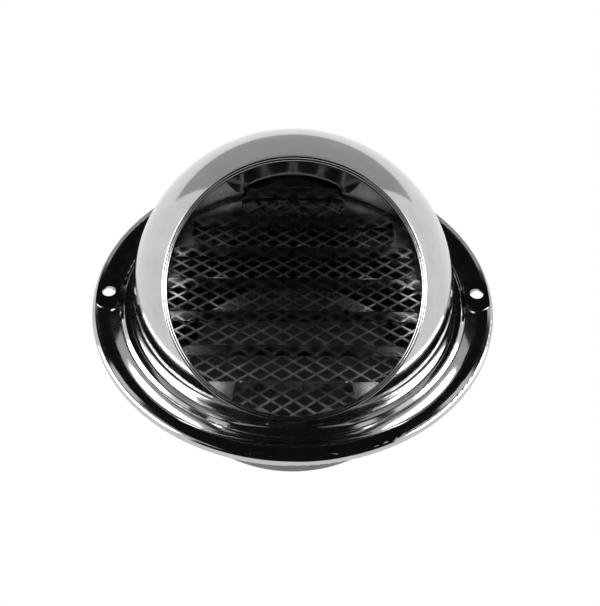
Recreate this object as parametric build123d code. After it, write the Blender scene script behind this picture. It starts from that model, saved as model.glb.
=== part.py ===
from build123d import *
import math
import os

# Round hooded vent in polished stainless sheet, for a 100 mm duct.
# Origin: midway between the two screw holes, on the front of their pads.
# +Z points out of the wall along the duct axis; the mouth of the hood faces -Y and upwards.
# Heights below are counted from the wall, and the finished pieces are moved down by PAD_TOP.

SHEET = 0.6                 # thickness of every pressed sheet piece
HALF = SHEET / 2

# Hood: a ball-shaped shell on a flared skirt that ends in a flat foot
BALL_R = 59.2               # radius of the middle of the sheet
BALL_Z = 5.8                # height of the ball's centre above the wall
SKIRT_R = 60.6              # radius where the skirt turns out into the foot
SKIRT_BEND = 0.5
FOOT_R = 62.4               # outer edge of the foot
FOOT_Z = 1.9                # middle of the foot's sheet
MOUTH_TILT = 46.5           # elevation of the mouth's axis, degrees
MOUTH_DEPTH = 40.4          # distance of the mouth plane from the ball's centre
HEM_R = 43.6                # radius of the rolled hem's middle line
HEM_WIRE_R = 0.9            # half the thickness of the rolled hem
HEM_CUT_R = 46.0            # the opening is cut this wide, then closed by the hem
RETURN_DEPTH = 2.4          # how far the hem's inner edge turns back into the hood
RETURN_END_Z = 6.5          # the return stops here, clear of the louvre plate

# Flange: a dished ring, locked over the hood's foot
FLANGE_R = 75.0             # outer radius
LOCK_Z = FOOT_Z + SHEET     # middle of the sheet that lies on the foot
LOCK_R = 61.5               # inner edge of the flange
LOCK_TURN_R = 63.0          # where the skin drops off the hood's foot
VALLEY_R = 64.6
VALLEY_Z = 1.4
CROWN_R = 70.4
CROWN_Z = 4.1
SHOULDER_Z = 3.0
LIP_R = 72.9                # inner edge of the flat lip that bears on the wall
FLANGE_BENDS = (0.6, 0.9, 6.0, 1.4, 0.45)

# Screw holes in raised oval pads, and a bare trapezium pad at the front
HOLE_SPACING = 138.0
HOLE_R = 2.5
PAD_LENGTH = 17.0
PAD_WIDTH = 9.0
PAD_TOP = 4.2
PLATE_PAD_RISE = 0.35
PLATE_PAD_INNER = 20.0
PLATE_PAD_OUTER = 29.0
PLATE_PAD_FROM = 66.4
PLATE_PAD_TO = 72.4

# Spigot: a flat ledge under the hood, a cone, and a tube that enters the duct
SPIGOT_R = 49.0             # outer radius of the tube
LEDGE_Z = FOOT_Z - SHEET    # middle of the ledge's sheet
CONE_R = 58.6               # where the ledge turns down into the cone
SPIGOT_END = -45.8
END_R = 45.5                # middle of the sheet at the drawn-in end
END_TAPER = 3.8
BEAD_Z = -36.0
BEAD_DEPTH = 1.1
BEAD_HALF = 2.2
SPIGOT_BENDS = (1.0, 2.0, 0.9, 1.2, 0.9, 1.6)

# Mesh: expanded metal disc on the ledge
MESH_R = 59.6
MESH_RIM = 1.2
DIAMOND_LONG = 7.9
DIAMOND_SHORT = 5.8
STRAND = 0.7

# Louvre plate: a capped disc that holds the mesh down
PLATE_R = 59.1
PLATE_TOP = 4.0
SLOT_COUNT = 7
FIRST_HINGE_Y = 54.6        # far edge of the farthest slot
BLADE_PITCH = 17.5
PITCH_CLOSING = 0.26        # each pitch is this much less than the one before
SLOT_DEPTH = 12.4
SLOT_CORNER = 7.5
SLOT_HALF_LENGTHS = (21.0, 40.0, 47.0, 49.0)    # from an end slot to the middle one
SLOT_LIMIT_R = 57.2
BLADE_HEIGHT = 4.6
BLADE_CORNER = 3.0
BLADE_END_GAP = 0.5         # between a blade's end and the end of its slot


def sheet_ring(*center_line):
    """Revolves a strip of sheet, given its middle line in radius and height."""
    strip = trace(list(center_line), SHEET)
    return revolve(Plane.XZ * strip, Axis.Z)


def mouth_plane(distance):
    """A plane square to the mouth's axis, at a distance from the ball's centre."""
    tilt = math.radians(MOUTH_TILT)
    outward = Vector(0, -math.cos(tilt), math.sin(tilt))
    return Plane(origin=Vector(0, 0, BALL_Z) + outward * distance, x_dir=(1, 0, 0), z_dir=outward)


def make_hood():
    dome = RadiusArc((0, BALL_Z + BALL_R), (BALL_R, BALL_Z), BALL_R)
    skirt = FilletPolyline(
        (BALL_R, BALL_Z),
        (SKIRT_R, FOOT_Z),
        (FOOT_R, FOOT_Z),
        radius=SKIRT_BEND,
    )
    shell = sheet_ring(dome) + sheet_ring(skirt)
    mouth = extrude(mouth_plane(MOUTH_DEPTH) * Circle(HEM_CUT_R), BALL_R)
    bead = mouth_plane(MOUTH_DEPTH) * Torus(HEM_R, HEM_WIRE_R)
    inner_r = HEM_R - HEM_WIRE_R
    band = Circle(inner_r + HALF) - Circle(inner_r - HALF)
    inner_return = extrude(mouth_plane(MOUTH_DEPTH - RETURN_DEPTH) * band, RETURN_DEPTH)
    inner_return -= Cylinder(BALL_R, 2 * RETURN_END_Z)
    return shell - mouth + bead + inner_return


def flange_line(rise=0.0):
    return FilletPolyline(
        (LOCK_R, LOCK_Z + rise),
        (LOCK_TURN_R, LOCK_Z + rise),
        (VALLEY_R, VALLEY_Z + rise),
        (CROWN_R, CROWN_Z + rise),
        (FLANGE_R - HALF, SHOULDER_Z + rise),
        (FLANGE_R - HALF, HALF + rise),
        (LIP_R, HALF + rise),
        radius=FLANGE_BENDS,
    )


def screw_pad(x):
    """A raised oval pad whose walls run down to the flange's skin."""
    outline = Pos(x, 0) * Rot(0, 0, 90) * SlotOverall(PAD_LENGTH, PAD_WIDTH)
    hollow = Pos(x, 0) * Rot(0, 0, 90) * SlotOverall(PAD_LENGTH - 2 * SHEET, PAD_WIDTH - 2 * SHEET)
    cap = extrude(Pos(0, 0, HALF) * outline, PAD_TOP - HALF)
    cap -= extrude(hollow, PAD_TOP - SHEET)
    skin = flange_line()
    below = Polyline(skin @ 1, (LIP_R, -HALF), (LOCK_R, -HALF), skin @ 0)
    floor = revolve(Plane.XZ * make_face([skin, below]), Axis.Z)
    return cap - floor


def front_pad():
    """The bare trapezium on the flange's front, one step proud of the ring."""
    outline = make_face(Polyline(
        (-PLATE_PAD_INNER / 2, -PLATE_PAD_FROM),
        (PLATE_PAD_INNER / 2, -PLATE_PAD_FROM),
        (PLATE_PAD_OUTER / 2, -PLATE_PAD_TO),
        (-PLATE_PAD_OUTER / 2, -PLATE_PAD_TO),
        close=True,
    ))
    column = extrude(outline, FLANGE_R)
    return sheet_ring(flange_line(PLATE_PAD_RISE)) & column


def make_flange():
    ring = sheet_ring(flange_line())
    for side in (-1, 1):
        x = side * HOLE_SPACING / 2
        outline = Pos(x, 0) * Rot(0, 0, 90) * SlotOverall(PAD_LENGTH, PAD_WIDTH)
        ring -= extrude(Pos(0, 0, PAD_TOP) * outline, PAD_LENGTH)
        ring += screw_pad(x)
        ring -= Pos(x, 0, 0) * Cylinder(HOLE_R, 4 * PAD_TOP)
    return ring + front_pad()


def make_spigot():
    wall = SPIGOT_R - HALF
    line = FilletPolyline(
        (FOOT_R, LEDGE_Z),
        (CONE_R, LEDGE_Z),
        (wall, LEDGE_Z - (CONE_R - wall)),
        (wall, BEAD_Z + BEAD_HALF),
        (wall - BEAD_DEPTH, BEAD_Z),
        (wall, BEAD_Z - BEAD_HALF),
        (wall, SPIGOT_END + END_TAPER),
        (END_R, SPIGOT_END),
        radius=SPIGOT_BENDS,
    )
    return sheet_ring(line)


def make_mesh():
    """A disc with rows of diamonds, every second row half a diamond along."""
    half_long = (DIAMOND_LONG - STRAND / math.sin(math.atan2(DIAMOND_SHORT, DIAMOND_LONG))) / 2
    half_short = half_long * DIAMOND_SHORT / DIAMOND_LONG
    diamond = make_face(Polyline(
        (-half_long, 0), (0, -half_short), (half_long, 0), (0, half_short), close=True,
    ))
    reach = MESH_R - MESH_RIM
    rows = math.ceil(2 * reach / DIAMOND_SHORT)
    columns = math.ceil(reach / DIAMOND_LONG)
    holes = []
    for row in range(-rows, rows + 1):
        shift = DIAMOND_LONG / 2 if row % 2 else 0.0
        y = row * DIAMOND_SHORT / 2
        for column in range(-columns - 1, columns + 2):
            x = column * DIAMOND_LONG + shift
            if math.hypot(abs(x) + half_long / 2, abs(y) + half_short / 2) < reach - half_short / 2:
                holes.append(Pos(x, y) * diamond)
    disc = Circle(MESH_R) - holes
    return extrude(Pos(0, 0, FOOT_Z - HALF) * disc, SHEET)


def hinge_y(slot):
    """Position along Y of a slot's far edge, counted from the farthest slot."""
    return FIRST_HINGE_Y - BLADE_PITCH * slot + PITCH_CLOSING * slot * (slot - 1) / 2


def slot_half_length(slot):
    return SLOT_HALF_LENGTHS[min(slot, SLOT_COUNT - 1 - slot)]


def slot_outline(slot):
    width = 2 * slot_half_length(slot)
    far = hinge_y(slot)
    block = Pos(0, far - SLOT_DEPTH / 2) * Rectangle(width, SLOT_DEPTH)
    near_corners = block.vertices().group_by(Axis.Y)[0]
    return fillet(near_corners, SLOT_CORNER) & Circle(SLOT_LIMIT_R)


def blade(slot):
    """The raised lip along a slot's far edge, with its two top corners rounded."""
    far = hinge_y(slot)
    reach = math.sqrt(SLOT_LIMIT_R ** 2 - far ** 2) if far > 0 else SLOT_LIMIT_R
    width = 2 * min(slot_half_length(slot), reach + BLADE_CORNER) - 2 * BLADE_END_GAP
    side = Rectangle(width, BLADE_HEIGHT + SHEET, align=(Align.CENTER, Align.MIN))
    side = fillet(side.vertices().group_by(Axis.Y)[-1], BLADE_CORNER)
    upright = Plane.XZ * side
    return Pos(0, far + SHEET, PLATE_TOP - SHEET) * extrude(upright, SHEET)


def make_louvre_plate():
    disc = Circle(PLATE_R)
    for slot in range(SLOT_COUNT):
        disc -= slot_outline(slot)
    plate = extrude(Pos(0, 0, PLATE_TOP - SHEET) * disc, SHEET)
    rim_foot = FOOT_Z + HALF
    rim = Circle(PLATE_R) - Circle(PLATE_R - SHEET)
    plate += extrude(Pos(0, 0, rim_foot) * rim, PLATE_TOP - rim_foot)
    for slot in range(SLOT_COUNT):
        plate += blade(slot)
    return plate


NODES = {
    "hood": make_hood,
    "flange": make_flange,
    "spigot": make_spigot,
    "louvre_plate": make_louvre_plate,
    "insect_mesh": make_mesh,
}

os.makedirs("parts", exist_ok=True)
for name, make in NODES.items():
    export_step(Pos(0, 0, -PAD_TOP) * make(), f"parts/{name}.step")
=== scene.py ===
# Ball-shaped vent hood in polished stainless steel: hood, flange, spigot, louvres and mesh.
import bpy
import math
from mathutils import Matrix, Vector


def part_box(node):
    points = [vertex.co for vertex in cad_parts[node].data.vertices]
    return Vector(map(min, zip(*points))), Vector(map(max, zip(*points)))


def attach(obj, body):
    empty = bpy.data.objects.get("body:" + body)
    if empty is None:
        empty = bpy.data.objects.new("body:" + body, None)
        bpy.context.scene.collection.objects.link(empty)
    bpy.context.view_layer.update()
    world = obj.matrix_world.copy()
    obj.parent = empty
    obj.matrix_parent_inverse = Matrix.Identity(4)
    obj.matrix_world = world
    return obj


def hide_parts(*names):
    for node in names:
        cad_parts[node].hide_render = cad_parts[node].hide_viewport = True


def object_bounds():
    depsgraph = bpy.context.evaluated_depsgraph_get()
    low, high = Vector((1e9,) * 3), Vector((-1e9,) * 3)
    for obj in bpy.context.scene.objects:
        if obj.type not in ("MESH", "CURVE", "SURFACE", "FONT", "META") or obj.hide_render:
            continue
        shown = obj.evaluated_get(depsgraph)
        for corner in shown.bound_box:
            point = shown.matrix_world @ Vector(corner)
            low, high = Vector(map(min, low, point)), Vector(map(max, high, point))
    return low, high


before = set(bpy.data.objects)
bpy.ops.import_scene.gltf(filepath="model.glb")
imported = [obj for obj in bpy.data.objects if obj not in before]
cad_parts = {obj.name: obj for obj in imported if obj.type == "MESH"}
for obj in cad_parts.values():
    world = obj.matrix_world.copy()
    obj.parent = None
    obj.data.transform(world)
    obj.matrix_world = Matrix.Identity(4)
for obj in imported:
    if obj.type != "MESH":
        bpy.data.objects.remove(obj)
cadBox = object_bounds()
mm = 0.001
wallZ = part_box("flange")[0].z  # the flange's back face; heights below count from it
print("frame loaded:", sorted(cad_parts))


def deselectAll():
    if bpy.context.mode != "OBJECT":
        bpy.ops.object.mode_set(mode="OBJECT")
    bpy.ops.object.select_all(action="DESELECT")


def openMesh(obj):
    # into edit mode with everything selected
    deselectAll()
    obj.select_set(True)
    bpy.context.view_layer.objects.active = obj
    bpy.ops.object.mode_set(mode="EDIT")
    bpy.ops.mesh.select_all(action="SELECT")


def closeMesh():
    bpy.ops.object.mode_set(mode="OBJECT")
    return bpy.context.active_object


def applyModifier(obj, kind, **settings):
    deselectAll()
    obj.select_set(True)
    bpy.context.view_layer.objects.active = obj
    modifier = obj.modifiers.new(kind.title(), kind)
    for key, value in settings.items():
        setattr(modifier, key, value)
    bpy.ops.object.modifier_apply(modifier=modifier.name)


def arc(center, radius, start, end, steps):
    # points of a round stretch of a profile, angles in degrees from the outward radius
    points = []
    for step in range(steps + 1):
        turn = math.radians(start + (end - start) * step / steps)
        points.append((center[0] + radius * math.cos(turn), center[1] + radius * math.sin(turn)))
    return points


def stretch(start, end, steps):
    # points of a straight stretch, without its first one
    shares = [step / steps for step in range(1, steps + 1)]
    return [tuple(a + (b - a) * share for a, b in zip(start, end)) for share in shares]


def drawProfile(name, points):
    # one vertex, extruded along the profile in the plane y = 0
    deselectAll()
    first = Vector((points[0][0], 0, points[0][1])) * mm
    bpy.ops.mesh.primitive_plane_add(size=mm, location=(0, 0, 0))
    obj = bpy.context.active_object
    obj.name = obj.data.name = name
    openMesh(obj)
    bpy.ops.mesh.merge(type="CENTER")
    bpy.ops.transform.translate(value=first)
    for here, there in zip(points, points[1:]):
        step = Vector((there[0] - here[0], 0, there[1] - here[1])) * mm
        bpy.ops.mesh.extrude_region_move(TRANSFORM_OT_translate={"value": step})
    return closeMesh()


def spinProfile(obj, steps):
    openMesh(obj)
    bpy.ops.mesh.spin(steps=steps, angle=2 * math.pi, center=(0, 0, 0), axis=(0, 0, 1))
    bpy.ops.mesh.select_all(action="SELECT")
    bpy.ops.mesh.remove_doubles(threshold=0.002 * mm)
    bpy.ops.mesh.normals_make_consistent(inside=False)
    return closeMesh()


def roundedPath(corners, radii, arcSteps=6):
    # a profile of straight runs with a round corner at each inner point
    points = [corners[0]]
    for index, radius in enumerate(radii):
        before, here, after = (Vector(corners[index + k]) for k in range(3))
        inward = (here - before).normalized()
        outward = (after - here).normalized()
        turn = inward.angle_signed(outward)
        start = here - inward * radius * math.tan(abs(turn) / 2)
        side = 1 if turn < 0 else -1
        pivot = start + Vector((-inward.y, inward.x)) * radius * side
        points.append(tuple(start))
        for step in range(1, arcSteps + 1):
            spun = start - pivot
            spun.rotate(Matrix.Rotation(-turn * step / arcSteps, 2))
            points.append(tuple(pivot + spun))
    return points + [corners[-1]]


def linearColor(hexColor):
    parts = [int(hexColor[k:k + 2], 16) / 255 for k in (1, 3, 5)]
    return tuple(p / 12.92 if p <= 0.04045 else ((p + 0.055) / 1.055) ** 2.4 for p in parts) + (1.0,)


def addNode(tree, kind, links=None, **settings):
    # adds a node, sets its fields or sockets, and links its inputs
    node = tree.nodes.new(kind)
    for key, value in settings.items():
        if hasattr(node, key):
            setattr(node, key, value)
        else:
            node.inputs[key.replace("_", " ")].default_value = value
    for socket, source in (links or {}).items():
        tree.links.new(source, node.inputs[socket])
    return node


def newMaterial(name):
    material = bpy.data.materials.new(name)
    material.use_nodes = True
    material.node_tree.nodes.clear()
    return material, material.node_tree


patchy = {"detail": 4.0, "soft": 0.6, "low": 0.3, "high": 0.7, "smoother": 0.7, "rougher": 1.3}


def polishedSteel(name, finish):
    # stainless sheet, rolled and buffed: a mirror whose tone and haze drift in soft patches
    material, tree = newMaterial(name)
    place = addNode(tree, "ShaderNodeTexCoord")
    patches = addNode(tree, "ShaderNodeTexNoise", {"Vector": place.outputs["Object"]},
                      Scale=1 / (finish["swirlMm"] * mm), Detail=patchy["detail"], Roughness=patchy["soft"])
    tone = addNode(tree, "ShaderNodeMix", {"Factor": patches.outputs["Fac"]}, data_type="RGBA")
    tone.inputs["A"].default_value = linearColor(finish["haze"])
    tone.inputs["B"].default_value = linearColor(finish["steel"])
    rough = addNode(tree, "ShaderNodeMapRange", {"Value": patches.outputs["Fac"]},
                    From_Min=patchy["low"], From_Max=patchy["high"],
                    To_Min=finish["roughness"] * patchy["smoother"],
                    To_Max=finish["roughness"] * patchy["rougher"])
    shader = addNode(tree, "ShaderNodeBsdfPrincipled",
                     {"Base Color": tone.outputs["Result"], "Roughness": rough.outputs["Result"]},
                     Metallic=1.0)
    addNode(tree, "ShaderNodeOutputMaterial", {"Surface": shader.outputs["BSDF"]})
    return material


# lengths in mm; in the rolls: radius from the hem's, depth from the mouth's, own radius, angles
hood = {
    "ballR": 59.5, "ballZ": 5.8, "skirtR": 60.9, "footZ": 2.2, "footR": 62.4, "footBend": 0.4,
    "sheet": 0.6, "steps": 360, "ballSteps": 90,
    "tilt": 46.5, "mouthDepth": 40.4, "cutBelow": 0.5, "hemR": 43.6, "hemSheet": 0.3,
    "hemFrom": (0.85, -0.9), "outerRoll": (0.35, -0.1, 0.5, 20, 165),
    "innerRoll": (-0.45, -0.15, 0.42, 60, 180), "rollSteps": 9, "returnTo": (-0.9, -2.3),
    "finish": {"steel": "#cfcfcf", "haze": "#b4b4b4", "roughness": 0.10, "swirlMm": 9.0},
    "smoothAngle": 40,
}


def makeShell(center, outward):
    dome = arc((0, hood["ballZ"]), hood["ballR"], 90, 0, hood["ballSteps"])
    foot = [(hood[key], hood["footZ"]) for key in ("skirtR", "footR")]
    skirt = roundedPath([dome[-1]] + foot, [hood["footBend"]])
    shell = spinProfile(drawProfile("hood", dome + skirt[1:]), hood["steps"])
    openMesh(shell)
    bpy.ops.transform.translate(value=(0, 0, wallZ))
    cut = center + outward * (hood["mouthDepth"] - hood["cutBelow"]) * mm
    bpy.ops.mesh.bisect(plane_co=cut, plane_no=outward, clear_outer=True)
    closeMesh()
    applyModifier(shell, "SOLIDIFY", thickness=hood["sheet"] * mm, offset=-1)
    return shell


def makeHem(center):
    # two fine rolls with a groove between, then a short return into the hood
    def fromHem(point):
        return hood["hemR"] + point[0], hood["mouthDepth"] + point[1]

    hem = [fromHem(hood["hemFrom"])]
    for roll in (hood["outerRoll"], hood["innerRoll"]):
        hem += arc(fromHem(roll), *roll[2:], hood["rollSteps"])
    hem += stretch(hem[-1], fromHem(hood["returnTo"]), 3)
    ring = spinProfile(drawProfile("hoodHem", hem), hood["steps"])
    applyModifier(ring, "SOLIDIFY", thickness=hood["hemSheet"] * mm, offset=-1)
    # spun upright, so it is tipped to the mouth's axis about the ball's centre
    tip = Matrix.Rotation(math.radians(90 - hood["tilt"]), 4, "X")
    ring.data.transform(Matrix.Translation(center) @ tip)
    return ring


def makeHood():
    tilt = math.radians(hood["tilt"])
    center = Vector((0, 0, hood["ballZ"] * mm + wallZ))
    shell = makeShell(center, Vector((0, -math.cos(tilt), math.sin(tilt))))
    ring = makeHem(center)
    deselectAll()
    ring.select_set(True)
    shell.select_set(True)
    bpy.context.view_layer.objects.active = shell
    bpy.ops.object.join()
    shell.data.materials.clear()
    shell.data.materials.append(polishedSteel("buffedStainlessHood", hood["finish"]))
    bpy.ops.object.shade_smooth_by_angle(angle=math.radians(hood["smoothAngle"]))
    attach(shell, "root")
    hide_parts("hood")


makeHood()
print("hood made")

# the other pieces keep their CAD shape and get their finish here
finishes = {
    "flange": {"steel": "#c9c9c9", "haze": "#aeaeae", "roughness": 0.09, "swirlMm": 7.0},
    "spigot": {"steel": "#7c7c7c", "haze": "#646464", "roughness": 0.28, "swirlMm": 5.0},
    "louvre_plate": {"steel": "#b5b5b5", "haze": "#979797", "roughness": 0.22, "swirlMm": 6.0},
    "insect_mesh": {"steel": "#dcdcdc", "haze": "#c0c0c0", "roughness": 0.42, "swirlMm": 3.0},
}
for nodeName, finish in finishes.items():
    steel = polishedSteel("stainless_" + nodeName, finish)
    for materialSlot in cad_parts[nodeName].material_slots:
        materialSlot.material = steel
print("finishes set")

# sizes and places in metres; a card lies flat, or stands upright when it is marked so
cards = [
    {"name": "ceiling", "size": (1.5, 2.0), "at": (0, 0.05, 0.75), "upright": False, "color": "#161616"},
    {"name": "backDark", "size": (1.9, 0.3), "at": (0, 1.0, 0.74), "upright": True, "color": "#161616"},
    {"name": "backGrey", "size": (1.9, 0.65), "at": (0, 1.02, 0.27), "upright": True, "color": "#b4b4b4"},
    {"name": "ceilingStrip", "size": (0.14, 1.0), "at": (-0.5, -0.1, 0.73), "upright": False,
     "color": "#f0f0f0"},
    {"name": "ceilingStrip", "size": (0.14, 1.0), "at": (0.5, -0.1, 0.73), "upright": False,
     "color": "#f0f0f0"},
    {"name": "frontDark", "size": (1.7, 0.8), "at": (0, -0.8, 0.36), "upright": True, "color": "#161616"},
]


def addCard(card):
    # an even card out of the camera's sight, there only for the steel to reflect
    deselectAll()
    turned = (math.pi / 2 if card["upright"] else 0, 0, 0)
    bpy.ops.mesh.primitive_plane_add(size=1, location=card["at"], rotation=turned)
    sheet = bpy.context.active_object
    sheet.name = card["name"]
    sheet.scale = (*card["size"], 1)
    material, tree = newMaterial(card["name"] + "Card")
    paper = addNode(tree, "ShaderNodeEmission", Color=linearColor(card["color"]), Strength=1.0)
    addNode(tree, "ShaderNodeOutputMaterial", {"Surface": paper.outputs[0]})
    sheet.data.materials.append(material)
    sheet.visible_camera = False


def seenDirectly(tree):
    # 1 for camera, glossy and transmission rays, 0 for light that falls on the object
    path = addNode(tree, "ShaderNodeLightPath")
    either = addNode(tree, "ShaderNodeMath", operation="MAXIMUM",
                     links={0: path.outputs["Is Camera Ray"], 1: path.outputs["Is Glossy Ray"]})
    return addNode(tree, "ShaderNodeMath", operation="MAXIMUM",
                   links={0: either.outputs[0], 1: path.outputs["Is Transmission Ray"]}).outputs[0]


# shade, shadeR, shadeSides and shadeLift: grey, radius, sides and lift of the painted shadow disc inside
# the tube
ground = {"size": 3.0, "paper": "#f4f4f4", "shade": "#8c8c8c", "shadeR": 0.046, "shadeSides": 96,
          "shadeLift": 0.05}


def makeShade(floorZ):
    # painted shadow: a disc of darker grey paper than the floor, put on the floor inside the tube, which
    # also gets hardly any light
    deselectAll()
    bpy.ops.mesh.primitive_circle_add(vertices=ground["shadeSides"], radius=ground["shadeR"],
                                      fill_type="NGON", location=(0, 0, floorZ + ground["shadeLift"] * mm))
    shade = bpy.context.active_object
    shade.name = "paintedShadowDisc"
    material, tree = newMaterial("paintedShadowPaper")
    paper = addNode(tree, "ShaderNodeBsdfDiffuse", Color=linearColor(ground["shade"]))
    addNode(tree, "ShaderNodeOutputMaterial", {"Surface": paper.outputs[0]})
    shade.data.materials.append(material)


def makeFloor(floorZ):
    # white paper: plain white to the eye and in the steel, matt for all other light
    deselectAll()
    bpy.ops.mesh.primitive_plane_add(size=ground["size"], location=(0, 0, floorZ))
    floor = bpy.context.active_object
    floor.name = "floor"
    material, tree = newMaterial("whiteSweepPaper")
    paper = addNode(tree, "ShaderNodeBsdfDiffuse", Color=linearColor(ground["paper"]))
    white = addNode(tree, "ShaderNodeEmission", Strength=1.0)
    mix = addNode(tree, "ShaderNodeMixShader",
                  {"Fac": seenDirectly(tree), 1: paper.outputs[0], 2: white.outputs[0]})
    addNode(tree, "ShaderNodeOutputMaterial", {"Surface": mix.outputs[0]})
    floor.data.materials.append(material)


# place in mm from the middle of the wall side, angles in degrees, lens and sensor in mm
view = {"at": (3.12, -260.7, 277.5), "pitch": 46.94, "yaw": -0.12, "roll": 1.41, "turn": 1.5,
        "lens": 59.7208, "sensor": 36.0}


def makeCamera():
    camera = bpy.data.objects.new("camera", bpy.data.cameras.new("camera"))
    bpy.context.collection.objects.link(camera)
    aim = Matrix.Rotation(math.radians(-view["yaw"]), 4, "Z")
    aim = aim @ Matrix.Rotation(math.radians(90 - view["pitch"]), 4, "X")
    aim = aim @ Matrix.Rotation(math.radians(view["roll"]), 4, "Z")
    place = Matrix.Translation(Vector(view["at"]) * mm + Vector((0, 0, wallZ)))
    camera.matrix_world = Matrix.Rotation(math.radians(-view["turn"]), 4, "Z") @ place @ aim
    camera.data.sensor_width = view["sensor"]
    camera.data.lens = view["lens"]
    bpy.context.scene.camera = camera


def makeWorld():
    # white where it is looked at, nearly dark as a light
    world = bpy.data.worlds.new("darkStudio")
    bpy.context.scene.world = world
    world.use_nodes = True
    tree = world.node_tree
    tree.nodes.clear()
    room = addNode(tree, "ShaderNodeBackground", Color=(0.02, 0.02, 0.02, 1), Strength=1.0)
    white = addNode(tree, "ShaderNodeBackground", Color=(1, 1, 1, 1), Strength=1.0)
    mix = addNode(tree, "ShaderNodeMixShader",
                  {"Fac": seenDirectly(tree), 1: room.outputs[0], 2: white.outputs[0]})
    addNode(tree, "ShaderNodeOutputWorld", {"Surface": mix.outputs[0]})


sideBox = {"size": (0.9, 0.5), "watts": 14, "out": 0.9, "front": -0.1, "height": 0.35}


def makeLights():
    for side in (-1, 1):
        light = bpy.data.lights.new("sideBox", "AREA")
        light.shape = "RECTANGLE"
        light.size, light.size_y = sideBox["size"]
        light.energy = sideBox["watts"]
        box = bpy.data.objects.new("sideBox", light)
        bpy.context.collection.objects.link(box)
        box.location = (side * sideBox["out"], sideBox["front"], sideBox["height"])
        box.rotation_euler = (-box.location).to_track_quat("-Z", "Y").to_euler()


for card in cards:
    addCard(card)
makeShade(cadBox[0].z)
makeFloor(cadBox[0].z)
makeCamera()
makeWorld()
makeLights()
bpy.context.scene.view_settings.view_transform = "Standard"
print("studio set")
